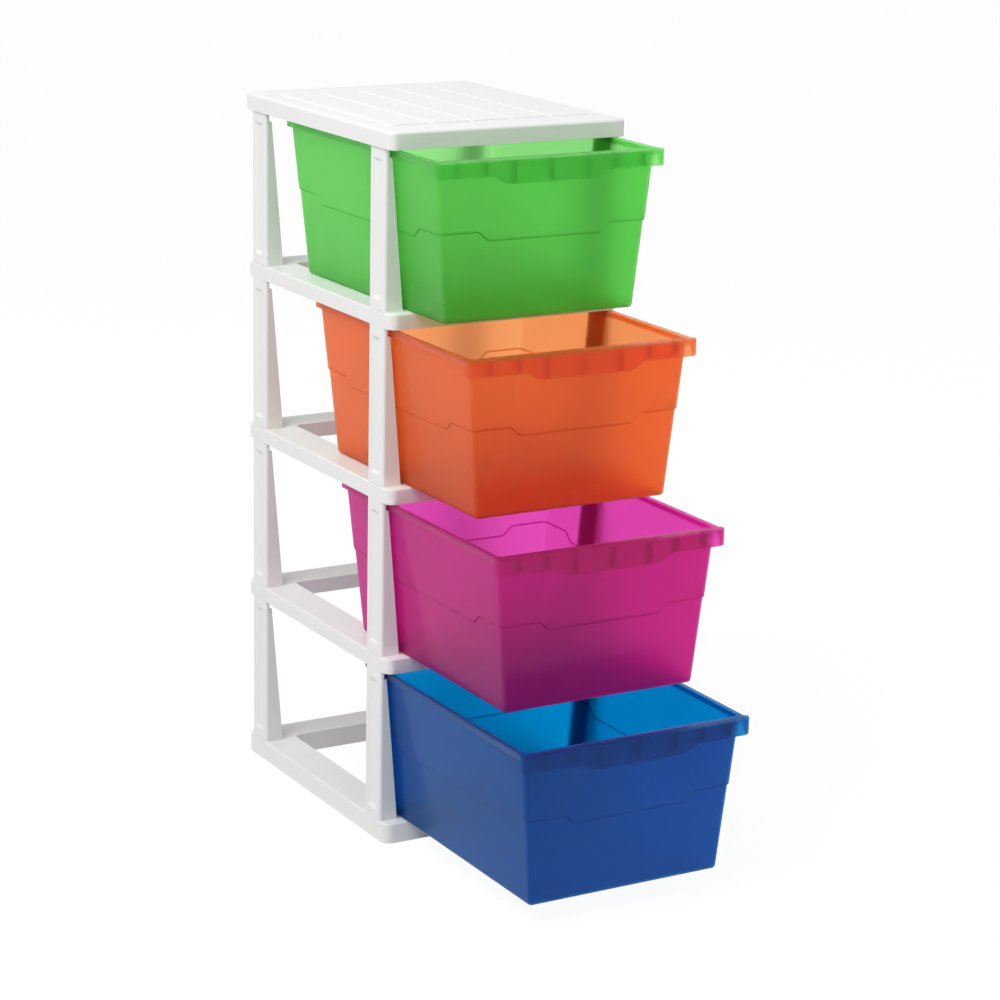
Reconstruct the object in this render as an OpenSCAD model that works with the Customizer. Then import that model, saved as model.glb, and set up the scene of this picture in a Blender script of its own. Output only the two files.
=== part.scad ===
// Plastic drawer tower: a white frame of stacked shelf rings and clip-in posts,
// with four translucent drawers that slide out to the front (-Y).
// The origin is on the floor, under the middle of the frame. +Z is up.

/* [Frame] */
// Outer width of the frame
frame_w = 298; // [280:1:330]
// Outer depth of the frame
frame_d = 370; // [350:1:410]
// Height from one shelf frame to the next
tier_pitch = 200; // [180:1:225]
// Height of a shelf frame
ring_h = 18; // [16:0.5:22]
// How much taller the base frame is than a shelf frame
base_extra_h = 6; // [1:0.5:12]
// Width of the side rails of a shelf frame
side_rail_w = 43; // [38:1:50]
// Width of the front and rear rails of a shelf frame
end_rail_w = 45; // [42:1:54]
// Corner radius of the frame in plan
frame_corner_r = 12; // [8:1:16]
// Corner radius of the opening in a shelf frame
opening_r = 8; // [4:1:14]
// Rounding of the outer top edges
edge_r = 2; // [1:0.5:3]
// Moulded wall of the frame parts
skin_t = 2.4; // [1.8:0.2:3]
// Cells between the ribs under a side rail
side_cells = 5; // [3:1:7]
// Cells between the ribs under a front or rear rail
end_cells = 3; // [2:1:5]

/* [Top panel] */
// Height of the top panel at its edge
panel_h = 20; // [17:0.5:26]
// How far the top panel stands out past the frame on every side
panel_over = 2; // [0:0.5:5]
// Corner radius of the top panel in plan
panel_corner_r = 9; // [6:1:14]
// Rounding of the top panel's upper edge
panel_edge_r = 3.5; // [1:0.5:4.5]
// Number of raised slats on the top panel
slat_count = 5; // [3:1:7]
// Distance from one slat to the next
slat_pitch = 51; // [30:1:54]
// Groove between two slats
slat_groove = 2.4; // [1.5:0.1:5]
// Height of the slats above the panel's border
slat_raise = 1.5; // [0.8:0.1:3]
// Border in front of and behind the slats
slat_border = 43; // [30:1:60]
// Cells across the underside of the top panel
panel_cells_x = 4; // [3:1:6]
// Cells along the underside of the top panel
panel_cells_y = 5; // [3:1:7]

/* [Posts] */
// Depth of a post, front to back
post_d = 37; // [32:1:42]
// Distance from the frame's front edge to the front posts
post_inset = 14.5; // [12:0.5:20]
// Rounding of a post's outer corners
post_corner_r = 4; // [2:0.5:6]
// Thickness of a post's neck, where the drawer rim passes
neck_t = 5.4; // [4.6:0.1:7]
// Width of the long recess in a post's outer face
recess_w = 19.5; // [12:0.5:24]
// Depth of the long recess
recess_depth = 2.2; // [1:0.1:3]
// Width of the recess's sloped sides
recess_slope = 4; // [1:0.5:5]
// Plain length left above and below the recess
recess_end = 12; // [8:0.5:24]
// Cells between the ribs on a post's inner side
post_cells = 4; // [2:1:6]
// Width of the peg under a post, across the frame
peg_w = 12; // [8:0.5:13]
// Depth of the pegs and tongues, front to back
peg_d = 24; // [16:1:26]
// Length of the peg under a post
peg_l = 9; // [6:0.5:10]
// Length of the tongue on top of a post
tongue_l = 6; // [4:0.5:7]
// Clearance round each peg and tongue
peg_fit = 0.15; // [0.1:0.05:0.3]

/* [Drawers] */
// Wall of a drawer
wall_t = 2; // [1.6:0.1:2.6]
// Floor of a drawer
floor_t = 2.4; // [1.8:0.1:3.2]
// Draft of the drawer's side walls, in degrees
side_draft = 5; // [3:0.25:5.5]
// Draft of the drawer's front wall, in degrees
front_draft = 2.9; // [1:0.1:4]
// Draft of the drawer's rear wall, in degrees
rear_draft = 4.1; // [2:0.1:5]
// Radius of the drawer's upright corners
drawer_corner_r = 5.5; // [5.2:0.1:9]
// Rounding under the drawer's walls
foot_r = 4; // [2:0.25:4.5]
// Height of the turned-down rim
rim_h = 8; // [6:0.5:10]
// Thickness of the rim and the front lip
rim_t = 1.6; // [1.4:0.1:1.7]
// Radius of the rim's rear corners
rim_corner_r = 5.5; // [2.2:0.1:8]
// How far the rim stands out from the side walls
rim_side = 3.5; // [3.3:0.1:6]
// How far the rim stands out from the rear wall
rim_rear = 4; // [3.5:0.1:9]
// Height of the front lip at its ends
lip_h = 18; // [15:0.5:24]
// How much deeper the lip is in its middle
lip_drop = 9; // [4:0.5:14]
// Half width of the lip's deep middle
lip_mid = 56; // [35:1:60]
// Length of the curve from the deep middle to the shallow end
lip_curve = 20; // [12:1:24]
// Depth of the lip's wings, front to back
lip_d = 14; // [13:0.5:17]
// Radius of the lip's two corners
lip_corner_r = 10; // [5:0.5:10.5]
// How far the lip stands out from the top of the front wall
lip_front = 13; // [8:0.5:15]
// Thickness of the ribs behind the lip
lip_rib_t = 1.6; // [1.2:0.1:2.4]
// Height of the step line at the drawer's corners
step_high = 101; // [80:1:120]
// How far the step line drops along the middle of each wall
step_drop = 10.5; // [4:0.5:16]
// How far the wall above the step line stands out
step_out = 1.5; // [0.8:0.1:2]
// Distance from a corner to the drop in the front and rear step lines
step_end_front = 46; // [38:1:56]
// Distance from a corner to the drop in the side step lines
step_end_side = 42; // [30:1:70]
// Length of the slanted drop in the step line
step_slant = 13; // [8:1:20]

/* [Fits] */
// Gap between a drawer's floor and the shelf frame it slides on
glide_gap = 0.2; // [0.1:0.05:0.3]
// Gap between a drawer and the frame above it
top_gap = 1; // [0.8:0.1:4]
// Gap between a drawer's rim and a post's neck, at each side
rim_gap = 1.6; // [0.5:0.1:4]
// Gap between a drawer's walls and the posts
post_gap = 2.7; // [0.6:0.1:5]
// Distance from the ends of a drawer's lip to the frame's outer faces
lip_side_gap = 4; // [0.5:0.1:5.5]
// Gap between a closed drawer's lip and the front posts
lip_gap = 0.5; // [0.3:0.1:1]
// How far a closed drawer's rear rim stands out past the frame's rear edge
rear_over = 6; // [0:0.5:8]

/* [Drawer openings] */
// How far the blue drawer stands open
open_blue = 307; // [0:1:308]
// How far the magenta drawer stands open
open_magenta = 244; // [0:1:308]
// How far the orange drawer stands open
open_orange = 175; // [0:1:308]
// How far the green drawer stands open
open_green = 97; // [0:1:308]

/* [Hidden] */
TIERS = 4;
SIDES = ["left", "right"];
ENDS = ["front", "rear"];
function post_name(tier, end, side) = str("post_", tier, "_", end, "_", side);
POST_NAMES = [for (tier = [1 : TIERS], end = ENDS, side = SIDES) post_name(tier, end, side)];
SHELF_NAMES = ["base_frame", "shelf_frame_1", "shelf_frame_2", "shelf_frame_3"];
DRAWER_NAMES = ["blue_drawer", "magenta_drawer", "orange_drawer", "green_drawer"];

WHITE = "#f2f2f0";
BLUE = "#1c4e96";
MAGENTA = "#a8217a";
ORANGE = "#f0582a";
GREEN = "#4fbe46";

eps = 0.01;
$fn = 48;

// Heights: the top of the shelf frame under each drawer, and the free gap above it
function shelf_top(tier) = base_extra_h + ring_h + (tier - 1) * tier_pitch;
tier_gap = tier_pitch - ring_h;

// Outer size of the top panel
panel_w = frame_w + 2 * panel_over;
panel_d = frame_d + 2 * panel_over;

// Drawer sizes that follow from the frame and the fits
drawer_h = tier_gap - glide_gap - top_gap;
rim_half = frame_w / 2 - neck_t - rim_gap;
wall_top_half = rim_half - rim_side;
lip_half = frame_w / 2 - lip_side_gap;
floor_half = wall_top_half - step_out - drawer_h * tan(side_draft);
closed_y = -frame_d / 2 + post_inset - lip_gap - lip_d;
drawer_l = frame_d / 2 + rear_over - closed_y;
front_foot_y = lip_front + step_out + drawer_h * tan(front_draft);
rear_foot_y = drawer_l - rim_rear - step_out - drawer_h * tan(rear_draft);

// Post sizes that follow from the drawer
shoulder_gap = 0.7;
notch_h = top_gap + rim_h + shoulder_gap;
shoulder_h = tier_gap - notch_h;
post_x0 = floor_half + step_out + post_gap;
post_x1 = post_x0 + shoulder_h * tan(side_draft);
post_y = frame_d / 2 - post_inset - post_d / 2;
neck_x = frame_w / 2 - neck_t;
peg_x = post_x0 + skin_t + peg_w / 2;
tongue_step = 0.3;
tongue_t = neck_t - skin_t - peg_fit - tongue_step;
tongue_x = neck_x + tongue_step + tongue_t / 2;

// ---- Shelf frames -------------------------------------------------------

// A rounded rectangle about the origin
module rounded_rect(w, d, r) {
    square([w - 2 * r, d], center = true);
    square([w, d - 2 * r], center = true);
    for (x = [-1, 1], y = [-1, 1])
        translate([x * (w / 2 - r), y * (d / 2 - r)]) circle(r);
}

// Half section of a slab's edge: a strip with its outer top corner rounded
module edge_section(strip, h, r) {
    square([strip, h - r]);
    square([strip - r, h]);
    translate([strip - r, h - r]) circle(r);
}

// A slab with rounded corners in plan and a rounded outer top edge
module soft_slab(w, d, h, r_plan, r_edge) {
    lx = w - 2 * r_plan;
    ly = d - 2 * r_plan;
    translate([0, 0, h / 2]) cube([lx, ly, h], center = true);
    for (turn = [0, 180]) rotate(turn) {
        translate([lx / 2, ly / 2, 0]) rotate([90, 0, 0])
            linear_extrude(ly) edge_section(r_plan, h, r_edge);
        translate([-lx / 2, ly / 2, 0]) rotate([90, 0, 90])
            linear_extrude(lx) edge_section(r_plan, h, r_edge);
        translate([lx / 2, ly / 2, 0])
            rotate_extrude(angle = 90) edge_section(r_plan, h, r_edge);
        translate([-lx / 2, ly / 2, 0])
            rotate(90) rotate_extrude(angle = 90) edge_section(r_plan, h, r_edge);
    }
}

// Puts a child at each of the four post places, mirrored to the inside
module at_posts() {
    for (x = [0, 1], y = [0, 1])
        mirror([x, 0, 0]) mirror([0, y, 0]) children();
}

// A row of equal pockets between ribs, from (x0, y0) to (x1, y1)
module pockets(x0, y0, x1, y1, nx, ny, h) {
    cell_x = (x1 - x0 + skin_t) / nx;
    cell_y = (y1 - y0 + skin_t) / ny;
    for (i = [0 : nx - 1], j = [0 : ny - 1])
        translate([x0 + i * cell_x, y0 + j * cell_y, -eps])
            cube([cell_x - skin_t, cell_y - skin_t, h + eps]);
}

// The hollow underside of a shelf frame, with a boss left under each post
module ring_underside(h) {
    opening_x = frame_w / 2 - side_rail_w;
    opening_y = frame_d / 2 - end_rail_w;
    in_x = opening_x + skin_t;
    out_x = frame_w / 2 - skin_t;
    in_y = opening_y + skin_t;
    out_y = frame_d / 2 - skin_t;
    boss_x = post_x0;
    boss_y0 = post_y - post_d / 2;
    boss_y1 = post_y + post_d / 2;
    straight_x = frame_w / 2 - frame_corner_r;
    for (turn = [0, 180]) rotate(turn) {
        pockets(in_x, -boss_y0 + skin_t, out_x, boss_y0 - skin_t, 1, side_cells, h);
        pockets(-in_x + skin_t, in_y, in_x - skin_t, out_y, end_cells, 1, h);
    }
    at_posts() {
        pockets(in_x, in_y, boss_x - skin_t, boss_y1 - skin_t, 1, 1, h);
        pockets(in_x, boss_y1 + skin_t, straight_x, out_y, 1, 1, h);
    }
}

// Hole in a shelf frame for the peg of the post that stands on it
module peg_holes(top) {
    at_posts() translate([peg_x, post_y, top - peg_l / 2])
        cube([peg_w + 2 * peg_fit, peg_d + 2 * peg_fit, peg_l + 2 * peg_fit + eps], center = true);
}

// Slot under a frame for the tongue of the post that carries it
module tongue_slots() {
    at_posts() translate([tongue_x, post_y, tongue_l / 2])
        cube([tongue_t + 2 * peg_fit, peg_d + 2 * peg_fit, tongue_l + 2 * peg_fit + eps], center = true);
}

// One rectangular frame, open in the middle; only a carried frame has tongue slots
module ring(h, carried) {
    difference() {
        soft_slab(frame_w, frame_d, h, frame_corner_r, edge_r);
        translate([0, 0, -eps]) linear_extrude(h + 2 * eps)
            rounded_rect(frame_w - 2 * side_rail_w, frame_d - 2 * end_rail_w, opening_r);
        ring_underside(h - skin_t);
        peg_holes(h);
        if (carried) tongue_slots();
    }
}

module base_frame() {
    color(WHITE) ring(ring_h + base_extra_h, false);
}

module shelf_frame(tier) {
    color(WHITE) translate([0, 0, shelf_top(tier) - ring_h]) ring(ring_h, true);
}

// ---- Top panel ----------------------------------------------------------

// Cross section of the raised slats, each with bevelled sides
module slat_section() {
    face = slat_pitch - slat_groove;
    for (i = [0 : slat_count - 1])
        translate([(i - (slat_count - 1) / 2) * slat_pitch, 0])
            polygon([[-face / 2, 0], [face / 2, 0], [face / 2, slat_raise / 3],
                [face / 2 - slat_raise * 2 / 3, slat_raise], [-face / 2 + slat_raise * 2 / 3, slat_raise],
                [-face / 2, slat_raise / 3]]);
}

module slats() {
    slat_l = frame_d - 2 * slat_border;
    translate([0, slat_l / 2, panel_h]) rotate([90, 0, 0]) linear_extrude(slat_l) slat_section();
}

// The ribbed underside, with a boss left over each post
module panel_underside() {
    depth = panel_h - skin_t;
    boss_x = neck_x - skin_t;
    boss_y = post_y - post_d / 2 - skin_t;
    end_x = boss_x - panel_corner_r / 2;
    out_x = panel_w / 2 - skin_t;
    out_y = panel_d / 2 - skin_t;
    pockets(-boss_x, -boss_y, boss_x, boss_y, panel_cells_x, panel_cells_y, depth);
    for (turn = [0, 180]) rotate(turn) {
        pockets(boss_x + skin_t, -boss_y, out_x, boss_y, 1, panel_cells_y, depth);
        pockets(-end_x, boss_y + skin_t, end_x, out_y, panel_cells_x, 1, depth);
    }
}

module top_panel() {
    color(WHITE) translate([0, 0, shelf_top(TIERS) + tier_gap]) {
        difference() {
            soft_slab(panel_w, panel_d, panel_h, panel_corner_r, panel_edge_r);
            panel_underside();
            tongue_slots();
        }
        slats();
    }
}

// ---- Posts --------------------------------------------------------------

// Front view of the rear right post: upright outside, tapered inside, notched at the top
module post_front_outline() {
    polygon([[post_x0, 0], [frame_w / 2, 0], [frame_w / 2, tier_gap], [neck_x, tier_gap],
        [neck_x, shoulder_h], [post_x1, shoulder_h]]);
}

// Plan of the post, with its two outer corners rounded
module post_plan() {
    x1 = frame_w / 2;
    w = x1 - post_x0;
    translate([post_x0, -post_d / 2]) square([w - post_corner_r, post_d]);
    translate([x1 - 2 * post_corner_r, -post_d / 2 + post_corner_r])
        square([2 * post_corner_r, post_d - 2 * post_corner_r]);
    for (y = [-1, 1]) translate([x1 - post_corner_r, y * (post_d / 2 - post_corner_r)])
        circle(post_corner_r);
}

// Pockets between the ribs of the post's inner side
module post_pockets() {
    back_x = frame_w / 2 - recess_depth - skin_t;
    z0 = skin_t;
    z1 = shoulder_h - skin_t;
    cell = (z1 - z0 + skin_t) / post_cells;
    for (i = [0 : post_cells - 1])
        translate([post_x0 - 1, -post_d / 2 + skin_t, z0 + i * cell])
            cube([back_x - post_x0 + 1, post_d - 2 * skin_t, cell - skin_t]);
}

// Outline of the recess: its mouth is w wide and its four sides slope in to its flat bottom
module recess_outline(w) {
    polygon([[-recess_depth, -w / 2 + recess_slope], [-recess_depth, w / 2 - recess_slope],
        [0, w / 2], [eps, w / 2], [eps, -w / 2], [0, -w / 2]]);
}

// The long recess in a post's outer face
module recess() {
    recess_l = tier_gap - 2 * recess_end;
    translate([frame_w / 2, 0, tier_gap / 2]) intersection() {
        linear_extrude(recess_l, center = true) recess_outline(recess_w);
        rotate([90, 0, 0]) linear_extrude(recess_w, center = true) recess_outline(recess_l);
    }
}

// The rear right post, standing at the height of its own shelf frame
module right_rear_post() {
    translate([0, post_y, 0]) {
        difference() {
            intersection() {
                linear_extrude(tier_gap) post_plan();
                translate([0, post_d / 2, 0]) rotate([90, 0, 0])
                    linear_extrude(post_d) post_front_outline();
            }
            post_pockets();
            recess();
        }
        translate([peg_x, 0, -peg_l / 2 + eps]) cube([peg_w, peg_d, peg_l + 2 * eps], center = true);
        translate([tongue_x, 0, tier_gap + tongue_l / 2 - eps])
            cube([tongue_t, peg_d, tongue_l + 2 * eps], center = true);
    }
}

module post(tier, end, side) {
    color(WHITE) translate([0, 0, shelf_top(tier)])
        mirror([side == "left" ? 1 : 0, 0, 0])
            mirror([0, end == "front" ? 1 : 0, 0]) right_rear_post();
}

// ---- Drawers ------------------------------------------------------------
// The drawer is one thin shell. It is lofted through rows of points that run round it:
// up the outside, over the rim and down the inside. The stations are the same in every
// row, so the step line and the lip's lower edge can rise and fall from station to station.
// In the drawer's own frame y = 0 is the lip's front face and z = 0 the underside.

function sorted(v) = len(v) < 2 ? v :
    concat(sorted([for (x = v) if (x < v[0]) x]), [v[0]], sorted([for (x = v) if (x > v[0]) x]));

arc_steps = 6;
step_mid_half = (wall_top_half + floor_half) / 2;
front_high_x = step_mid_half - step_end_front;
side_high_y0 = front_foot_y + step_end_side;
side_high_y1 = rear_foot_y - step_end_side;

step_xs = [-front_high_x, -front_high_x + step_slant, front_high_x - step_slant, front_high_x];
lip_xs = [for (s = [-1, 1], i = [0 : 5]) s * (lip_mid + i * lip_curve / 5)];
side_ys = [side_high_y0, side_high_y0 + step_slant, side_high_y1 - step_slant, side_high_y1];
front_xs = sorted(concat(step_xs, lip_xs));
rear_xs = sorted(step_xs);

// A station is [kind, a, b, c]. Kinds: corner (x sign, y sign, angle), front (x), rear (x),
// side (x sign, y) and wing (x sign, index), where the lip ends and the plain rim begins.
function corner_stations(sx, sy, from) =
    [for (i = [0 : arc_steps]) ["corner", sx, sy, from + i * 90 / arc_steps]];
stations = concat(
    [for (x = front_xs) ["front", x]],
    corner_stations(1, -1, 270),
    [for (i = [0, 1]) ["wing", 1, i]],
    [for (y = side_ys) ["side", 1, y]],
    corner_stations(1, 1, 0),
    [for (i = [len(rear_xs) - 1 : -1 : 0]) ["rear", rear_xs[i]]],
    corner_stations(-1, 1, 90),
    [for (i = [3 : -1 : 0]) ["side", -1, side_ys[i]]],
    [for (i = [1, 0]) ["wing", -1, i]],
    corner_stations(-1, -1, 180));

// An outline is [half width, y front, y rear, radius of the rear corners,
// half width at the front, wing end, radius of the front corners].
// A wall has no wing: there the two wing stations lie just behind its front corner.
function wall_outline(z, out) =
    let (half = floor_half + z * tan(side_draft) + out)
    [half, front_foot_y - z * tan(front_draft) - out, rear_foot_y + z * tan(rear_draft) + out,
        drawer_corner_r + out, half, 0, drawer_corner_r + out];
function rim_outline(inset) =
    [rim_half - inset, inset, drawer_l - inset, rim_corner_r - inset,
        lip_half - inset, lip_d - inset, lip_corner_r - inset];

// The wing's rear end slopes, and the two stations that draw it stay close together on a wall
wing_slope = 2;
wing_close = 0.5;
function wing_y(o, i) =
    o[5] > 0 ? o[5] - (1 - i) * wing_slope : o[1] + o[6] + (1 + 2 * i) * wing_close;
function corner_point(x, y, sx, sy, r, angle) = [sx * (x - r) + r * cos(angle), y - sy * r + r * sin(angle)];
function outline_point(s, o) =
    s[0] == "corner" && s[2] < 0 ? corner_point(o[4], o[1], s[1], s[2], o[6], s[3]) :
    s[0] == "corner" ? corner_point(o[0], o[2], s[1], s[2], o[3], s[3]) :
    s[0] == "front" ? [s[1], o[1]] :
    s[0] == "rear" ? [s[1], o[2]] :
    s[0] == "wing" ? [s[1] * (s[2] == 0 ? o[4] : o[0]), wing_y(o, s[2])] :
    [s[1] * o[0], s[2]];

// Share of the way from the high part of the step line to its low middle
function step_share(s) =
    s[0] == "front" || s[0] == "rear" ? min(1, max(0, (front_high_x - abs(s[1])) / step_slant)) :
    s[0] == "side" ? min(1, max(0, min(s[2] - side_high_y0, side_high_y1 - s[2]) / step_slant)) : 0;
function step_z(s) = step_high - step_drop * step_share(s);

// Lower edge of the rim: deep along the lip, shallow along the sides and rear
function lip_share(x) = (1 + cos(180 * min(1, max(0, (abs(x) - lip_mid) / lip_curve)))) / 2;
function on_lip(s) = s[0] == "front" || (s[0] == "corner" && s[2] < 0) || (s[0] == "wing" && s[2] == 0);
function rim_z(s) = drawer_h - (s[0] == "front" ? lip_h + lip_drop * lip_share(s[1]) :
    on_lip(s) ? lip_h : rim_h);

function wall_row(height, out) =
    [for (s = stations) let (z = height(s)) concat(outline_point(s, wall_outline(z, out)), z)];
function rim_row(height, inset) =
    [for (s = stations) concat(outline_point(s, rim_outline(inset)), height(s))];

step_soft = 0.8;
rim_soft = 0.6;
inner_r = 2.4;
bend = 0.3;
drawer_rows = [
    wall_row(function(s) 0, -foot_r),
    wall_row(function(s) foot_r * bend, -foot_r * bend),
    wall_row(function(s) foot_r, 0),
    wall_row(function(s) step_z(s) - step_soft, 0),
    wall_row(function(s) step_z(s) + step_soft, step_out),
    wall_row(function(s) drawer_h - rim_t, step_out),
    rim_row(function(s) drawer_h - rim_t, rim_t),
    rim_row(function(s) rim_z(s), rim_t),
    rim_row(function(s) rim_z(s), 0),
    rim_row(function(s) drawer_h - rim_soft, 0),
    rim_row(function(s) drawer_h, rim_soft),
    wall_row(function(s) drawer_h, step_out - wall_t),
    wall_row(function(s) step_z(s) + step_soft, step_out - wall_t),
    wall_row(function(s) step_z(s) - step_soft, -wall_t),
    wall_row(function(s) floor_t + inner_r, -wall_t),
    wall_row(function(s) floor_t + inner_r * bend, -wall_t - inner_r * bend),
    wall_row(function(s) floor_t, -wall_t - inner_r)];

// Middle of a closed row of points
function middle(row) = [for (i = [0 : 2]) let (v = [for (p = row) p[i]]) (min(v) + max(v)) / 2];

// Skins a stack of closed rows and closes each end with a fan about its middle
module loft(rows) {
    n = len(rows[0]);
    last = len(rows) - 1;
    foot = (last + 1) * n;
    head = foot + 1;
    polyhedron(
        points = concat([for (row = rows) each row], [middle(rows[0]), middle(rows[last])]),
        faces = concat(
            [for (j = [0 : n - 1]) [foot, j, (j + 1) % n]],
            [for (j = [0 : n - 1]) [head, last * n + (j + 1) % n, last * n + j]],
            [for (i = [0 : last - 1], j = [0 : n - 1]) let (k = (j + 1) % n)
                [i * n + j, (i + 1) * n + j, (i + 1) * n + k, i * n + k]]),
        convexity = 6);
}

// Ribs between the lip and the front wall, as places across the half width of the lip
lip_rib_at = [0, 47, 82, 117];

// Middle of the front wall's thickness at height z, above the step line
function front_wall_y(z) = front_foot_y - z * tan(front_draft) - step_out + wall_t / 2;

// Each rib reaches from the middle of the lip's thickness to the middle of the leaning wall's
module lip_rib(x) {
    z0 = drawer_h - lip_h - lip_drop * lip_share(x) + rim_t / 2;
    z1 = drawer_h - rim_t / 2;
    y0 = rim_t / 2;
    translate([x - lip_rib_t / 2, 0, 0]) rotate([90, 0, 90]) linear_extrude(lip_rib_t)
        polygon([[y0, z0], [front_wall_y(z0), z0], [front_wall_y(z1), z1], [y0, z1]]);
}

module lip_ribs() {
    for (side = [-1, 1], x = lip_rib_at) if (x > 0 || side > 0) lip_rib(side * x);
}

module drawer(tier, opened) {
    translate([0, closed_y - opened, shelf_top(tier) + glide_gap]) {
        loft(drawer_rows);
        lip_ribs();
    }
}

module blue_drawer() {
    color(BLUE) drawer(1, open_blue);
}

module magenta_drawer() {
    color(MAGENTA) drawer(2, open_magenta);
}

module orange_drawer() {
    color(ORANGE) drawer(3, open_orange);
}

module green_drawer() {
    color(GREEN) drawer(4, open_green);
}

// ---- Assembly -----------------------------------------------------------

base_frame();
for (tier = [2 : TIERS])
    shelf_frame(tier);
top_panel();
for (tier = [1 : TIERS], end = ENDS, side = SIDES)
    post(tier, end, side);
blue_drawer();
magenta_drawer();
orange_drawer();
green_drawer();
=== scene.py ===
"""Looks of the plastic drawer tower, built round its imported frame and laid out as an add-on."""
import math

import bmesh  # noqa: E402
import bpy  # noqa: E402
from bpy.props import FloatProperty, FloatVectorProperty, PointerProperty  # noqa: E402
from mathutils import Matrix, Vector  # noqa: E402


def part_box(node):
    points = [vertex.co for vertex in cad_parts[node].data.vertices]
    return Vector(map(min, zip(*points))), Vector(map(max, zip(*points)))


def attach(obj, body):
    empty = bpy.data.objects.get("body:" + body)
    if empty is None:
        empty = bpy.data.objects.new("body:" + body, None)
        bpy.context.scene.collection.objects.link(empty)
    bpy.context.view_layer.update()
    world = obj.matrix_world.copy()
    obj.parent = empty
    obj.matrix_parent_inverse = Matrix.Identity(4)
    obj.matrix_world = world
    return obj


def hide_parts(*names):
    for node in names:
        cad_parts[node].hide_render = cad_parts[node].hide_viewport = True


bl_info = {
    "name": "Drawer Tower",
    "version": (1, 0, 0),
    "blender": (4, 5, 0),
    "location": "View3D > Sidebar > Drawer Tower",
    "description": "Models and finishes a plastic drawer tower round its frame",
    "category": "Add Mesh",
}

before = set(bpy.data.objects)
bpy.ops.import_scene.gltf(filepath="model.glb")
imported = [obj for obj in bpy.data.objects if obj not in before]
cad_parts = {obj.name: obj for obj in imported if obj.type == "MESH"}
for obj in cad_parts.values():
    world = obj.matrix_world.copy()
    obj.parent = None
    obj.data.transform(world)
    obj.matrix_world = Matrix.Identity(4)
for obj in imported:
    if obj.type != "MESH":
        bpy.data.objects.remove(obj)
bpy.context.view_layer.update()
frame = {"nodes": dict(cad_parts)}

MM = 0.001
TINY = 0.05 * MM  # slack when vertices are found by their place
DRAWERS = ("blue_drawer", "magenta_drawer", "orange_drawer", "green_drawer")
FRAME_NODES = [n for n in sorted(frame["nodes"]) if n not in DRAWERS]


def linear(hex_colour):
    """The linear colour of an sRGB hex value."""
    parts = [int(hex_colour[i:i + 2], 16) / 255 for i in (1, 3, 5)]
    return tuple(p / 12.92 if p <= 0.04045 else ((p + 0.055) / 1.055) ** 2.4 for p in parts)


# ---- Settings ----------------------------------------------------------------------------

def length(name, text, millimetres):
    """A length property, given in millimetres and kept in metres."""
    return FloatProperty(
        name=name, description=text, default=millimetres * MM, unit="LENGTH", precision=4)


def angle(name, text, degrees):
    """An angle property, given in degrees and kept in radians."""
    return FloatProperty(
        name=name, description=text, default=math.radians(degrees), subtype="ANGLE")


def colour(name, text, hex_colour):
    """A colour property, given as an sRGB hex value and kept linear."""
    return FloatVectorProperty(
        name=name, description=text, default=linear(hex_colour),
        subtype="COLOR", size=3, min=0, max=1)


def strength(name, text, value, unit="NONE"):
    """The strength of a light."""
    return FloatProperty(name=name, description=text, default=value, min=0, unit=unit)


class TowerFrameSettings(bpy.types.PropertyGroup):
    edge: length("Edge radius", "Softening of the moulded frame's edges", 0.7)
    recess_width: length("Recess width", "Width of the long recess in a post's outer face", 19.5)
    recess_depth: length("Recess depth", "Depth of that recess", 2.2)
    recess_side: length("Recess side", "How wide each long side of the recess looks", 1.2)
    white: colour("White", "Colour of the frame mouldings", "#F3F3F2")


class TowerDrawerSettings(bpy.types.PropertyGroup):
    wall: length("Wall", "Thickness of a drawer's wall", 2)
    side_draft: angle("Side draft", "How far the side walls lean out", 5)
    front_draft: angle("Front draft", "How far the front wall leans out", 2.9)
    rear_draft: angle("Rear draft", "How far the rear wall leans out", 4.1)
    corner: length("Corner radius", "Radius of the drawer's upright corners", 5.5)
    foot: length("Foot radius", "Rounding under the walls", 4.2)
    edge: length("Edge radius", "Softening of the drawer's edges", 0.45)
    step_high: length("Step height", "Height of the step line at the corners", 101)
    step_drop: length("Step drop", "How far the step line drops along the middle of a wall", 10.5)
    step_out: length("Step depth", "How far the wall above the step line stands out", 1.5)
    step_soft: length("Step softness", "Half the height of the step line's slanted ledge", 0.8)
    step_end_front: length("Front step end", "From a corner to the drop in the front line", 46)
    step_end_side: length("Side step end", "From a corner to the drop in a side line", 42)
    step_slant: length("Step slant", "Length of the slanted drop in the step line", 13)
    rim_side: length("Side rim", "How far the rim stands out from the side walls", 3.5)
    rim_rear: length("Rear rim", "How far the rim stands out from the rear wall", 4)
    rim_front: length("Front rim", "How far the lip stands out from the front wall", 13)
    rim_height: length("Rim height", "Height of the turned-down rim", 8)
    lip_height: length("Lip height", "Height of the front lip at its ends", 18)
    lip_drop: length("Lip drop", "How much deeper the lip is in its middle", 9)
    lip_mid: length("Lip middle", "Half width of the lip's deep middle", 56)
    lip_curve: length("Lip curve", "Length of the curve beside the lip's middle", 20)
    lip_corner: length("Lip corner", "Radius of the lip's two corners in plan", 10)
    wing_out: length("Wing", "How far the lip's wings stand out past the side rim", 3)
    wing_depth: length("Wing depth", "Depth of the lip's wings, front to back", 14)
    wing_slope: length("Wing slope", "How far the wing's rear end slopes", 2)
    rib: length("Rib", "Thickness of the ribs behind the lip", 1.6)
    blue: colour("Blue", "Colour of the bottom drawer", "#008ACC")
    magenta: colour("Magenta", "Colour of the second drawer", "#E952BE")
    orange: colour("Orange", "Colour of the third drawer", "#FFA86C")
    green: colour("Green", "Colour of the top drawer", "#A0EE93")


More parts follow.
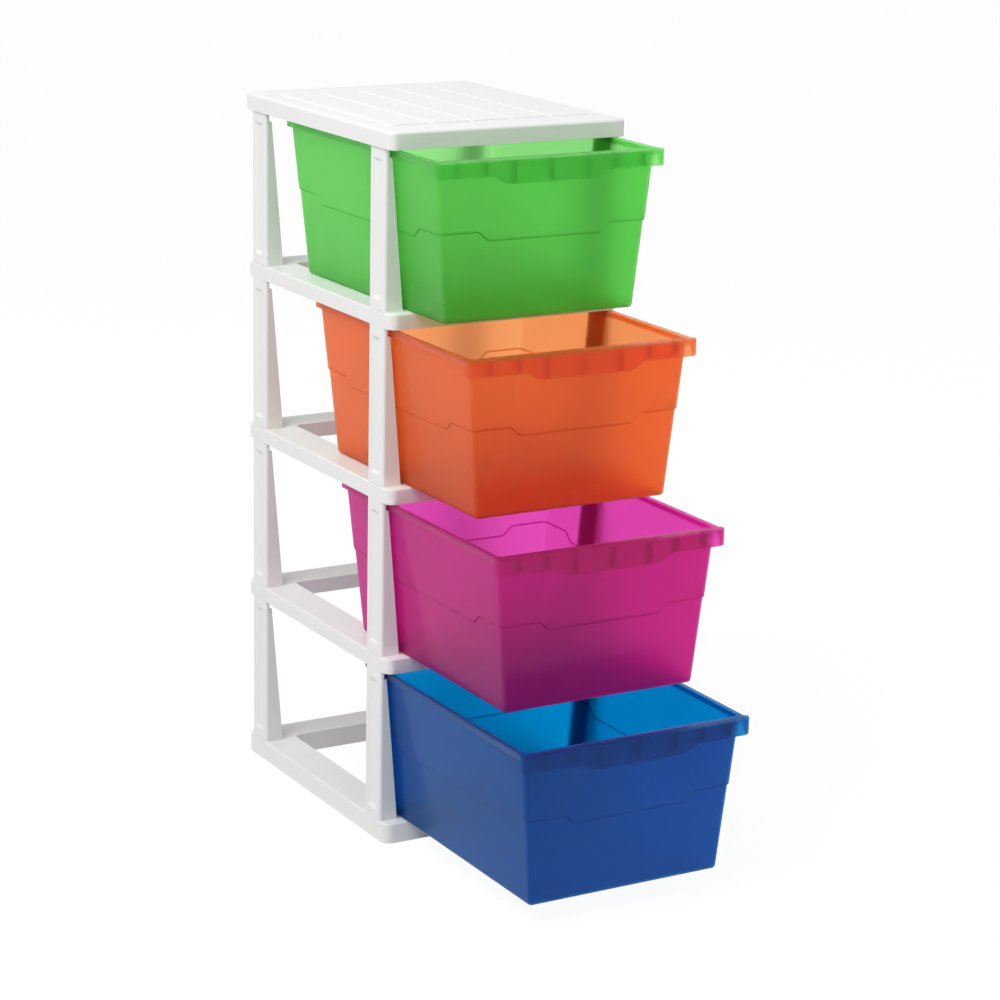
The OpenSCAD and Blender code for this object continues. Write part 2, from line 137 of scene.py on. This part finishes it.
class TowerStageSettings(bpy.types.PropertyGroup):
    floor: colour("Floor", "Colour of the studio floor", "#DFDFDF")
    world: strength("World", "Strength of the soft white surroundings", 0.48)
    key: strength("Key", "Power of the large key light", 74, "POWER")
    fill: strength("Fill", "Power of the fill light", 5, "POWER")


def settings():
    """The add-on's own settings in the open scene."""
    return bpy.context.scene.drawer_tower


# ---- Materials ---------------------------------------------------------------------------

WHITE_PLASTIC = "moulded_white_polypropylene"
POLYPROPYLENE_IOR = 1.49

# Repeats in a metre of Object coordinates.
WHITE_CLOUDS = 9.0  # drifts in the white, about 110 mm across
DRAWER_CLOUDS = 6.0  # drifts in the drawers' haze, about 170 mm across
SPARK_GRAIN = 850.0  # the tool's grain is about 0.4 mm and is drawn at 1.2 mm, so that it shows

# A face attribute of the drawers: how much painted shade a face shows, a deeper colour that
# stands in for light passing through more plastic.
EDGE_ON_SHADE = "edge_on"
LEDGE_SHARE = 1.0
RIB_SHARE = 0.4


def add_node(tree, kind, place, inputs=None, links=None, **values):
    """One node with its settings, its inputs by name or number, and links into them."""
    node = tree.nodes.new(kind)
    node.location = place
    for key, value in values.items():
        setattr(node, key, value)
    for key, value in (inputs or {}).items():
        node.inputs[key].default_value = value
    for key, socket in (links or {}).items():
        tree.links.new(socket, node.inputs[key])
    return node


def empty_material(name):
    """A new material and its node tree, with nothing in it."""
    material = bpy.data.materials.new(name)
    material.use_nodes = True
    material.node_tree.nodes.clear()
    return material, material.node_tree


def shade_of(base, factor):
    """A darker or lighter shade of a colour, as a node takes it."""
    return (*[min(1, c * factor) for c in base], 1)


def white_polypropylene():
    """Opaque white polypropylene, moulded in a fine-textured tool: satin, with a faint grain."""
    material, tree = empty_material(WHITE_PLASTIC)
    base = settings().frame.white
    place = add_node(tree, "ShaderNodeTexCoord", (-900, 0)).outputs["Object"]
    cloud = add_node(tree, "ShaderNodeTexNoise", (-700, 200),
                     {"Scale": WHITE_CLOUDS, "Detail": 3.0}, {"Vector": place}).outputs[0]
    tint = add_node(tree, "ShaderNodeMixRGB", (-450, 200),
                    {"Color1": shade_of(base, 0.975), "Color2": shade_of(base, 1.015)},
                    {"Fac": cloud})
    gloss = add_node(tree, "ShaderNodeMapRange", (-450, 0),
                     {"To Min": 0.38, "To Max": 0.5}, {"Value": cloud})
    grain = add_node(tree, "ShaderNodeTexNoise", (-700, -200),
                     {"Scale": SPARK_GRAIN, "Detail": 2.0}, {"Vector": place})
    bump = add_node(tree, "ShaderNodeBump", (-250, -200),
                    {"Strength": 0.06, "Distance": 0.4 * MM}, {"Height": grain.outputs[0]})
    skin = add_node(tree, "ShaderNodeBsdfPrincipled", (0, 0), {"IOR": POLYPROPYLENE_IOR},
                    {"Base Color": tint.outputs[0], "Roughness": gloss.outputs[0],
                     "Normal": bump.outputs[0]})
    add_node(tree, "ShaderNodeOutputMaterial", (300, 0), links={"Surface": skin.outputs[0]})
    return material


def clear_polypropylene(name, base):
    """Translucent polypropylene, moulded in a polished tool: a glossy skin over a soft haze."""
    material, tree = empty_material(f"translucent_{name}_polypropylene")
    place = add_node(tree, "ShaderNodeTexCoord", (-900, 0)).outputs["Object"]
    cloud = add_node(tree, "ShaderNodeTexNoise", (-700, 200),
                     {"Scale": DRAWER_CLOUDS, "Detail": 2.0}, {"Vector": place}).outputs[0]
    tint = add_node(tree, "ShaderNodeMixRGB", (-450, 200),
                    {"Color1": shade_of(base, 0.96), "Color2": shade_of(base, 1.03)},
                    {"Fac": cloud})
    # Painted shade: the ribs and the step line's ledge, seen edge on, get a deeper colour that
    # stands in for light passing through more plastic there.
    edge_on = add_node(tree, "ShaderNodeAttribute", (-700, 450), attribute_name=EDGE_ON_SHADE)
    deep = add_node(tree, "ShaderNodeMixRGB", (-220, 250),
                    {"Color2": (*[0.75 * c ** 1.5 for c in base], 1)},
                    {"Fac": edge_on.outputs["Fac"], "Color1": tint.outputs[0]})
    haze = add_node(tree, "ShaderNodeMapRange", (-450, 0),
                    {"To Min": 0.6, "To Max": 0.68}, {"Value": cloud})
    # Matched below polypropylene's own IOR, so that the walls let enough light through evenly.
    skin = add_node(tree, "ShaderNodeBsdfPrincipled", (0, 0),
                    {"IOR": 1.2, "Transmission Weight": 0.94,
                     "Coat Weight": 0.22, "Coat IOR": 1.5, "Coat Roughness": 0.12},
                    {"Base Color": deep.outputs[0], "Roughness": haze.outputs[0]})
    add_node(tree, "ShaderNodeOutputMaterial", (300, 0), links={"Surface": skin.outputs[0]})
    return material


# ---- Modelling helpers -------------------------------------------------------------------

def deselect_all():
    """Leaves edit mode and selects nothing."""
    if bpy.context.mode != "OBJECT":
        bpy.ops.object.mode_set(mode="OBJECT")
    bpy.ops.object.select_all(action="DESELECT")


def make_active(obj):
    """Selects one object alone and makes it the active one."""
    deselect_all()
    obj.select_set(True)
    bpy.context.view_layer.objects.active = obj


def select_where(test, kind="VERT"):
    """Selects, in edit mode, just the vertices, edges or faces that pass a test."""
    bpy.ops.mesh.select_mode(type=kind)
    bpy.ops.mesh.select_all(action="DESELECT")
    mesh = bmesh.from_edit_mesh(bpy.context.edit_object.data)
    items = {"VERT": mesh.verts, "EDGE": mesh.edges, "FACE": mesh.faces}[kind]
    found = [item for item in items if test(item)]
    if not found:
        raise RuntimeError("nothing to select")
    for item in found:
        item.select_set(True)
    mesh.select_flush_mode()
    bmesh.update_edit_mesh(bpy.context.edit_object.data)


def move_where(test, value):
    """Moves the vertices that pass a test."""
    select_where(test)
    bpy.ops.transform.translate(value=value)


def cut(place, normal, test):
    """One bisect through the faces that pass a test."""
    select_where(test, "FACE")
    bpy.ops.mesh.bisect(plane_co=place, plane_no=normal)


def apply_modifier(obj, kind, **values):
    """Adds a modifier with its settings and applies it."""
    make_active(obj)
    modifier = obj.modifiers.new(kind.title(), kind)
    for key, value in values.items():
        setattr(modifier, key, value)
    bpy.ops.object.modifier_apply(modifier=modifier.name)


def round_edges(obj, width, degrees):
    """Rounds the edges that turn by more than an angle."""
    apply_modifier(obj, "BEVEL", width=width, segments=2, limit_method="ANGLE",
                   angle_limit=math.radians(degrees))


def shade_smooth(obj, degrees):
    """Shades smoothly across the edges that turn by less than an angle."""
    make_active(obj)
    bpy.ops.object.shade_smooth_by_angle(angle=math.radians(degrees))


def finish_piece(obj, material, body, node):
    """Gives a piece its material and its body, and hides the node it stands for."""
    obj.data.materials.clear()
    obj.data.materials.append(material)
    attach(obj, body)
    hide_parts(node)


# ---- Frame mouldings ---------------------------------------------------------------------

# Angles in degrees. A round corner turns by 7.5 from face to face, a recess's ends by 29.
FLAT = 0.6
FRAME_SHARP = 24
FRAME_SMOOTH = 50


def steepen_recess(node):
    """Draws the long sides of a post's recess steeper, so that they catch the light as lines."""
    s = settings().frame
    low, high = (Vector(corner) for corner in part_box(node))
    middle = (low + high) / 2
    half = s.recess_width / 2
    floor_x = max(-low.x, high.x) - s.recess_depth
    select_where(lambda v: abs(abs(v.co.x) - floor_x) < TINY and abs(v.co.y - middle.y) < half)
    mesh = bmesh.from_edit_mesh(bpy.context.edit_object.data)
    floor_half = max(abs(v.co.y - middle.y) for v in mesh.verts if v.select)
    bpy.ops.transform.resize(value=(1, (half - s.recess_side) / floor_half, 1),
                             center_override=middle)


def soft_copy(node, edge):
    """A merged copy of a CAD moulding with its sharp edges rounded."""
    obj = bpy.data.objects.new(f"{node}_moulding", frame["nodes"][node].data.copy())
    bpy.context.scene.collection.objects.link(obj)
    make_active(obj)
    bpy.ops.object.mode_set(mode="EDIT")
    bpy.ops.mesh.select_all(action="SELECT")
    bpy.ops.mesh.remove_doubles(threshold=0.02 * MM)
    bpy.ops.mesh.dissolve_limited(angle_limit=math.radians(FLAT))
    if node.startswith("post"):
        steepen_recess(node)
    bpy.ops.object.mode_set(mode="OBJECT")
    round_edges(obj, edge, FRAME_SHARP)
    shade_smooth(obj, FRAME_SMOOTH)
    apply_modifier(obj, "WEIGHTED_NORMAL", keep_sharp=True)
    return obj


def dress_frame(nodes):
    """Finishes frame mouldings, which all share one white plastic."""
    material = bpy.data.materials.get(WHITE_PLASTIC) or white_polypropylene()
    for node in nodes:
        piece = soft_copy(node, settings().frame.edge)
        finish_piece(piece, material, "frame", node)


class TOWER_OT_shelf_frames(bpy.types.Operator):
    """Finish the base frame and the three shelf frames"""

    bl_idname = "drawer_tower.shelf_frames"
    bl_label = "Shelf Frames"

    def execute(self, context):
        dress_frame([n for n in FRAME_NODES if n.startswith(("base", "shelf"))])
        return {"FINISHED"}


class TOWER_OT_top_panel(bpy.types.Operator):
    """Finish the slatted top panel"""

    bl_idname = "drawer_tower.top_panel"
    bl_label = "Top Panel"

    def execute(self, context):
        dress_frame(["top_panel"])
        return {"FINISHED"}


class TOWER_OT_posts(bpy.types.Operator):
    """Finish the sixteen posts"""

    bl_idname = "drawer_tower.posts"
    bl_label = "Posts"

    def execute(self, context):
        dress_frame([n for n in FRAME_NODES if n.startswith("post")])
        return {"FINISHED"}


# ---- Drawers -----------------------------------------------------------------------------

RIBS_AT = [x * MM for x in (-117, -82, -47, 0, 47, 82, 117)]
LIP_CURVE_CUTS = 8
CORNER_SEGMENTS = 8
FOOT_SEGMENTS = 4

# Angles in degrees.
DRAWER_SHARP = 40
DRAWER_SMOOTH = 32

# A face whose normal has this much z is the step line's ledge: a leaning wall has under 0.09.
LEDGE_TILT = 0.12


class DrawerPlan:
    """Where a drawer's inner faces are: y = 0 at the lip's face, z = 0 at the underside."""

    def __init__(self, size, s):
        self.s = s
        self.height = size.z
        self.length = size.y
        self.rim_half = size.x / 2 - s.wing_out
        self.top_half = self.rim_half - s.rim_side - s.wall
        self.top_front = s.rim_front + s.wall
        self.top_rear = self.length - s.rim_rear - s.wall
        self.step_x = (self.half(self.height) + self.half(0)) / 2 + s.wall - s.step_end_front
        self.step_front = self.front(0) - s.wall + s.step_end_side
        self.step_rear = self.rear(0) + s.wall - s.step_end_side

    def half(self, z):
        """Half the inside width at height z, as if there were no step."""
        return self.top_half - self.s.step_out - (self.height - z) * math.tan(self.s.side_draft)

    def front(self, z):
        """The inside of the front wall at height z, as if there were no step."""
        return self.top_front + self.s.step_out + (self.height - z) * math.tan(self.s.front_draft)

    def rear(self, z):
        """The inside of the rear wall at height z, as if there were no step."""
        return self.top_rear - self.s.step_out - (self.height - z) * math.tan(self.s.rear_draft)

    def lip_share(self, x):
        """1 in the lip's deep middle, 0 past its curve, and a smooth fall between them."""
        t = (abs(x) - self.s.lip_mid) / self.s.lip_curve
        return (1 + math.cos(math.pi * min(1, max(0, t)))) / 2


def unit_cube(place, size):
    """A cube drawn out to a size, with its place in its mesh."""
    bpy.ops.mesh.primitive_cube_add(size=1, location=place)
    obj = bpy.context.object
    obj.scale = size
    bpy.ops.object.transform_apply(location=True, rotation=False, scale=True)
    bpy.ops.object.mode_set(mode="EDIT")
    return obj


def tapered_tray(plan):
    """The inside of the tray: a box, drawn out to its top outline, rounded and opened."""
    s, low, top = plan.s, plan.s.wall, plan.height
    size = Vector((plan.half(low) * 2, plan.rear(low) - plan.front(low), top - low))
    middle = (plan.rear(low) + plan.front(low)) / 2
    obj = unit_cube((0, middle, (low + top) / 2), size)
    select_where(lambda f: f.normal.z > 0.9, "FACE")
    wide = (plan.half(top) * 2 / size.x, (plan.rear(top) - plan.front(top)) / size.y, 1)
    bpy.ops.transform.resize(value=wide, center_override=(0, middle, top))
    shift = (plan.rear(top) + plan.front(top)) / 2 - middle
    bpy.ops.transform.translate(value=(0, shift, 0))
    select_where(lambda e: abs(e.verts[0].co.z - e.verts[1].co.z) > top / 2, "EDGE")
    bpy.ops.mesh.bevel(offset=s.corner - s.wall, offset_type="OFFSET",
                       segments=CORNER_SEGMENTS, affect="EDGES")
    select_where(lambda f: f.normal.z > 0.9, "FACE")
    bpy.ops.mesh.delete(type="FACE")
    select_where(lambda e: max(v.co.z for v in e.verts) < low + TINY, "EDGE")
    bpy.ops.mesh.bevel(offset=s.foot - s.wall, offset_type="OFFSET",
                       segments=FOOT_SEGMENTS, affect="EDGES")
    return obj


def step_line(plan):
    """Two level cuts make a narrow band, which is bent down along the middle of each wall."""
    s = plan.s
    low, high = s.step_high - s.step_soft, s.step_high + s.step_soft
    for z in (low, high):
        cut((0, 0, z), (0, 0, 1), lambda f: True)

    def in_band(f):
        return low < f.calc_center_median().z < high

    for x in (plan.step_x, plan.step_x - s.step_slant):
        for side in (-1, 1):
            cut((side * x, 0, 0), (1, 0, 0), in_band)
    for y in (plan.step_front, plan.step_front + s.step_slant,
              plan.step_rear - s.step_slant, plan.step_rear):
        cut((0, y, 0), (0, 1, 0), in_band)
    mid_x = plan.step_x - s.step_slant + TINY
    near_y = plan.step_front + s.step_slant - TINY
    far_y = plan.step_rear - s.step_slant + TINY
    middle, drop = plan.length / 2, s.step_drop
    front, rear, side = (math.tan(a) * drop for a in (s.front_draft, s.rear_draft, s.side_draft))
    walls = (
        (lambda v: abs(v.co.x) < mid_x and v.co.y < middle, (0, front)),
        (lambda v: abs(v.co.x) < mid_x and v.co.y > middle, (0, -rear)),
        (lambda v: v.co.x < -mid_x and near_y < v.co.y < far_y, (side, 0)),
        (lambda v: v.co.x > mid_x and near_y < v.co.y < far_y, (-side, 0)),
    )
    for test, lean in walls:
        move_where(lambda v: low - TINY < v.co.z < high + TINY and test(v), (*lean, -drop))


def push_out_upper_wall(plan):
    """All above the step line stands out, so the band becomes a small slanted ledge."""
    s, top = plan.s, plan.height
    upper = set()
    for face in bmesh.from_edit_mesh(bpy.context.edit_object.data).faces:
        if max(v.co.z for v in face.verts) > top - TINY:
            upper.update(v.index for v in face.verts)
    select_where(lambda v: v.index in upper)
    bpy.ops.transform.shrink_fatten(value=s.step_out, use_even_offset=True)
    select_where(lambda v: v.co.z > top - s.wall)
    bpy.ops.transform.resize(value=(1, 1, 0), center_override=(0, 0, top))


def extrude_open_edge(value):
    """Draws the open edge out by a distance."""
    select_where(lambda e: e.is_boundary, "EDGE")
    bpy.ops.mesh.extrude_region_move(TRANSFORM_OT_translate={"value": value})


def rim_outline(plan):
    """The open edge is drawn out to the outline of the rim and turned down."""
    s, top, middle = plan.s, plan.height, plan.length / 2
    extrude_open_edge((0, 0, 0))
    bpy.ops.transform.resize(value=(plan.rim_half / plan.top_half, 1, 1),
                             center_override=(0, 0, top))
    move_where(lambda v: v.is_boundary and v.co.y < middle, (0, -plan.top_front, 0))
    move_where(lambda v: v.is_boundary and v.co.y > middle, (0, plan.length - plan.top_rear, 0))
    corner = s.corner - s.wall + s.step_out
    grow = s.lip_corner / corner
    for side in (-1, 1):
        select_where(lambda v: (v.is_boundary and v.co.y < corner + TINY
                                and v.co.x * side > plan.rim_half / 2))
        bpy.ops.transform.resize(value=(grow, grow, 1),
                                 center_override=(side * plan.rim_half, 0, top))
    extrude_open_edge((0, 0, -s.rim_height))


def front_lip(plan):
    """Along the front the rim is widened into wings and drawn down to the lip's lower edge."""
    s, top = plan.s, plan.height
    wing = s.wing_depth - s.wing_slope
    wing_from = plan.rim_half - 2 * s.lip_corner

    def in_rim(f):
        return f.calc_center_median().z > top - s.rim_height

    def in_side_rim(f):
        return in_rim(f) and abs(f.calc_center_median().x) > plan.top_half - s.corner

    def in_front_rim(f):
        return in_rim(f) and f.calc_center_median().y < s.wing_depth

    def on_skirt(v):
        return any(in_rim(f) and abs(f.normal.z) < 0.5 for f in v.link_faces)

    for y in (wing, s.wing_depth):
        cut((0, y, 0), (0, 1, 0), in_side_rim)
    places = [s.lip_mid + i * s.lip_curve / LIP_CURVE_CUTS for i in range(LIP_CURVE_CUTS + 1)]
    for side in (-1, 1):
        for x in places:
            cut((side * x, 0, 0), (1, 0, 0), in_front_rim)
    for side in (-1, 1):
        move_where(lambda v: (on_skirt(v) and v.co.y < wing + TINY
                              and v.co.x * side > wing_from), (side * s.wing_out, 0, 0))
    move_where(lambda v: v.is_boundary and v.co.y < wing + TINY,
               (0, 0, s.rim_height - s.lip_height))
    for x in places[:-1]:
        move_where(lambda v: (v.is_boundary and abs(v.co.y) < TINY
                              and abs(abs(v.co.x) - x) < TINY),
                   (0, 0, -s.lip_drop * plan.lip_share(x)))


def lip_rib(plan, x):
    """A thin plate from the lip to the leaning front wall."""
    s = plan.s
    high = plan.height - s.wall / 2
    low = plan.height - s.lip_height - s.lip_drop * plan.lip_share(x) + s.wall / 2
    near = s.wall / 2
    far_low, far_high = (plan.front(z) - s.step_out - s.wall / 2 for z in (low, high))
    rib = unit_cube((x, (near + far_high) / 2, (low + high) / 2),
                    (s.rib, far_high - near, high - low))
    move_where(lambda v: v.co.y > near + TINY and v.co.z < low + TINY,
               (0, far_low - far_high, 0))
    bpy.ops.object.mode_set(mode="OBJECT")
    return rib


def join_ribs(obj, plan):
    """Models the ribs behind the lip and unites them with the drawer."""
    ribs = [lip_rib(plan, x) for x in RIBS_AT]
    make_active(ribs[0])
    for rib in ribs:
        rib.select_set(True)
    bpy.ops.object.join()
    apply_modifier(obj, "BOOLEAN", operation="UNION", solver="EXACT", object=ribs[0])
    bpy.data.objects.remove(ribs[0])


def mark_edge_on_shade(obj, plan):
    """Marks the ledge of the step line and the sides of the ribs for painted shade."""
    s = plan.s
    low, high = s.step_high - s.step_drop - s.wall, s.step_high + s.wall
    inner = plan.top_half - s.corner

    def share(face):
        at, normal = face.center, face.normal
        if low < at.z < high and abs(normal.z) > LEDGE_TILT:
            return LEDGE_SHARE
        behind_lip = s.wall / 2 < at.y < plan.top_front and abs(at.x) < inner
        return RIB_SHARE if behind_lip and abs(normal.x) > 0.9 else 0.0

    marks = [share(face) for face in obj.data.polygons]
    obj.data.attributes.new(EDGE_ON_SHADE, "FLOAT", "FACE").data.foreach_set("value", marks)


def build_drawer(plan):
    """One drawer, modelled as a single skin, given its wall and united with its ribs."""
    s = plan.s
    deselect_all()
    obj = tapered_tray(plan)
    step_line(plan)
    push_out_upper_wall(plan)
    rim_outline(plan)
    front_lip(plan)
    bpy.ops.object.mode_set(mode="OBJECT")
    apply_modifier(obj, "SOLIDIFY", thickness=s.wall, offset=1, use_even_offset=True)
    round_edges(obj, s.edge, DRAWER_SHARP)
    join_ribs(obj, plan)
    mark_edge_on_shade(obj, plan)
    shade_smooth(obj, DRAWER_SMOOTH)
    return obj


class TOWER_OT_drawers(bpy.types.Operator):
    """Model one drawer and copy it to the four places"""

    bl_idname = "drawer_tower.drawers"
    bl_label = "Drawers"

    def execute(self, context):
        s = settings().drawer
        low, high = (Vector(corner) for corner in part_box(DRAWERS[0]))
        pattern = build_drawer(DrawerPlan(high - low, s))
        for node in DRAWERS:
            name = node.split("_")[0]
            piece = bpy.data.objects.new(f"{node}_moulding", pattern.data.copy())
            context.scene.collection.objects.link(piece)
            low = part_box(node)[0]
            piece.data.transform(Matrix.Translation((0, low[1], low[2])))
            piece.data.update()
            material = clear_polypropylene(name, getattr(s, name))
            finish_piece(piece, material, node, node)
        bpy.data.objects.remove(pattern)
        return {"FINISHED"}


# ---- Stage -------------------------------------------------------------------------------

# The camera stands to the front left, a little above the tower, with a long lens.
CAMERA_AT = (-1.64696, -3.01734, 1.27656)
CAMERA_YAW = 0.5256
CAMERA_PITCH = 0.2626
CAMERA_ROLL = 0.0205
CAMERA_LENS = 106.58
CAMERA_SENSOR = 36

# Place and size of each lamp. Both look at a point low in the tower.
KEY_LAMP = ((-1.96, -0.8, 3.2), (2.2, 2.2))
FILL_LAMP = ((2.4, -2.2, 1.6), (1.8, 1.8))
LAMPS_LOOK_AT = Vector((0, -0.1, 0.4))

FLOOR_RADIUS = 30
PAPER_GLOW = 1.07  # just over white, so that the paper's last shade is gone away from the tower
PAPER_GLOW_SHARE = 0.88  # the rest of what the camera sees is lit paper with its shadow


def add_camera():
    """A camera from its yaw, pitch and roll, in radians."""
    forward = Vector((math.sin(CAMERA_YAW) * math.cos(CAMERA_PITCH),
                      math.cos(CAMERA_YAW) * math.cos(CAMERA_PITCH), -math.sin(CAMERA_PITCH)))
    right = Vector((math.cos(CAMERA_YAW), -math.sin(CAMERA_YAW), 0))
    up = right.cross(forward)
    c, s = math.cos(CAMERA_ROLL), math.sin(CAMERA_ROLL)
    axes = (c * right + s * up, c * up - s * right, -forward)
    bpy.ops.object.camera_add()
    camera = bpy.context.object
    rows = [[*[axis[i] for axis in axes], CAMERA_AT[i]] for i in range(3)]
    camera.matrix_world = Matrix(rows + [[0, 0, 0, 1]])
    camera.data.lens = CAMERA_LENS
    camera.data.sensor_width = CAMERA_SENSOR
    bpy.context.scene.camera = camera


def add_lamp(name, place, size, power):
    """A large soft lamp."""
    bpy.ops.object.light_add(type="AREA", location=place)
    lamp = bpy.context.object
    lamp.name = name
    aim = LAMPS_LOOK_AT - Vector(place)
    lamp.rotation_euler = aim.to_track_quat("-Z", "Y").to_euler()
    lamp.data.shape = "RECTANGLE"
    lamp.data.size, lamp.data.size_y = size
    lamp.data.energy = power


def clear_view(tree, path, kinds):
    """1 for rays of these kinds that have met no dull surface on their way, and 0 for others."""
    straight = add_node(tree, "ShaderNodeMath", (-700, 100), {1: 0.5}, operation="LESS_THAN",
                        links={0: path["Diffuse Depth"]})
    seen = path[kinds[0]]
    for step, kind in enumerate(kinds[1:]):
        seen = add_node(tree, "ShaderNodeMath", (-700, 300 + 150 * step), operation="MAXIMUM",
                        links={0: seen, 1: path[kind]}).outputs[0]
    return add_node(tree, "ShaderNodeMath", (-500, 300), operation="MULTIPLY",
                    links={0: seen, 1: straight.outputs[0]}).outputs[0]


def add_world(stage):
    """Soft surroundings that light the tower, and a white backdrop where they are seen."""
    world = bpy.data.worlds.new("studio")
    world.use_nodes = True
    bpy.context.scene.world = world
    tree = world.node_tree
    tree.nodes.clear()
    path = add_node(tree, "ShaderNodeLightPath", (-900, 300)).outputs
    seen = clear_view(tree, path, ("Is Camera Ray", "Is Glossy Ray", "Is Transmission Ray"))
    soft = add_node(tree, "ShaderNodeBackground", (-200, 0),
                    {"Color": (1, 1, 1, 1), "Strength": stage.world})
    white = add_node(tree, "ShaderNodeBackground", (-200, -200),
                     {"Color": (1, 1, 1, 1), "Strength": 1})
    mix = add_node(tree, "ShaderNodeMixShader", (0, 0),
                   links={0: seen, 1: soft.outputs[0], 2: white.outputs[0]})
    add_node(tree, "ShaderNodeOutputWorld", (200, 0), links={"Surface": mix.outputs[0]})


def floor_material(stage):
    """Seamless pale paper: it keeps the tower's shadow and reads as white away from it."""
    material, tree = empty_material("studio_floor")
    path = add_node(tree, "ShaderNodeLightPath", (-900, 300)).outputs
    seen = clear_view(tree, path, ("Is Glossy Ray", "Is Transmission Ray"))
    paper = add_node(tree, "ShaderNodeBsdfDiffuse", (-200, 0), {"Color": (*stage.floor, 1)})
    white = add_node(tree, "ShaderNodeEmission", (-200, -200),
                     {"Color": (1, 1, 1, 1), "Strength": PAPER_GLOW})
    part = add_node(tree, "ShaderNodeMath", (-500, 0), {1: PAPER_GLOW_SHARE},
                    operation="MULTIPLY", links={0: path["Is Camera Ray"]})
    share = add_node(tree, "ShaderNodeMath", (-300, 200), operation="MAXIMUM",
                     links={0: seen, 1: part.outputs[0]})
    mix = add_node(tree, "ShaderNodeMixShader", (0, 0),
                   links={0: share.outputs[0], 1: paper.outputs[0], 2: white.outputs[0]})
    add_node(tree, "ShaderNodeOutputMaterial", (200, 0), links={"Surface": mix.outputs[0]})
    return material


class TOWER_OT_stage(bpy.types.Operator):
    """Set the camera, the soft lights and the pale floor"""

    bl_idname = "drawer_tower.stage"
    bl_label = "Stage"

    def execute(self, context):
        stage = settings().stage
        deselect_all()
        add_camera()
        add_world(stage)
        add_lamp("key", *KEY_LAMP, stage.key)
        add_lamp("fill", *FILL_LAMP, stage.fill)
        bpy.ops.mesh.primitive_circle_add(vertices=96, radius=FLOOR_RADIUS, fill_type="NGON",
                                          location=(0, 0, 0))
        floor = bpy.context.object
        floor.name = "studio_floor"
        floor.data.materials.append(floor_material(stage))
        context.scene.view_settings.view_transform = "Standard"
        return {"FINISHED"}


# ---- Add-on ------------------------------------------------------------------------------

class TOWER_PT_panel(bpy.types.Panel):
    """Sizes, colours and steps of the drawer tower"""

    bl_idname = "TOWER_PT_panel"
    bl_label = "Drawer Tower"
    bl_space_type = "VIEW_3D"
    bl_region_type = "UI"
    bl_category = "Drawer Tower"

    def draw(self, context):
        for name in ("frame", "drawer", "stage"):
            group = getattr(settings(), name)
            box = self.layout.box()
            for key in group.__annotations__:
                box.prop(group, key)
        for operator in OPERATORS:
            self.layout.operator(operator.bl_idname)


class TowerSettings(bpy.types.PropertyGroup):
    frame: PointerProperty(type=TowerFrameSettings)
    drawer: PointerProperty(type=TowerDrawerSettings)
    stage: PointerProperty(type=TowerStageSettings)


OPERATORS = (TOWER_OT_stage, TOWER_OT_shelf_frames, TOWER_OT_top_panel, TOWER_OT_posts,
             TOWER_OT_drawers)
CLASSES = (TowerFrameSettings, TowerDrawerSettings, TowerStageSettings, TowerSettings,
           *OPERATORS, TOWER_PT_panel)


def register():
    for cls in CLASSES:
        bpy.utils.register_class(cls)
    bpy.types.Scene.drawer_tower = PointerProperty(type=TowerSettings)


def unregister():
    del bpy.types.Scene.drawer_tower
    for cls in reversed(CLASSES):
        bpy.utils.unregister_class(cls)


def main():
    register()
    bpy.ops.drawer_tower.stage()
    bpy.ops.drawer_tower.shelf_frames()
    bpy.ops.drawer_tower.top_panel()
    bpy.ops.drawer_tower.posts()
    bpy.ops.drawer_tower.drawers()


if __name__ == "__main__":
    main()
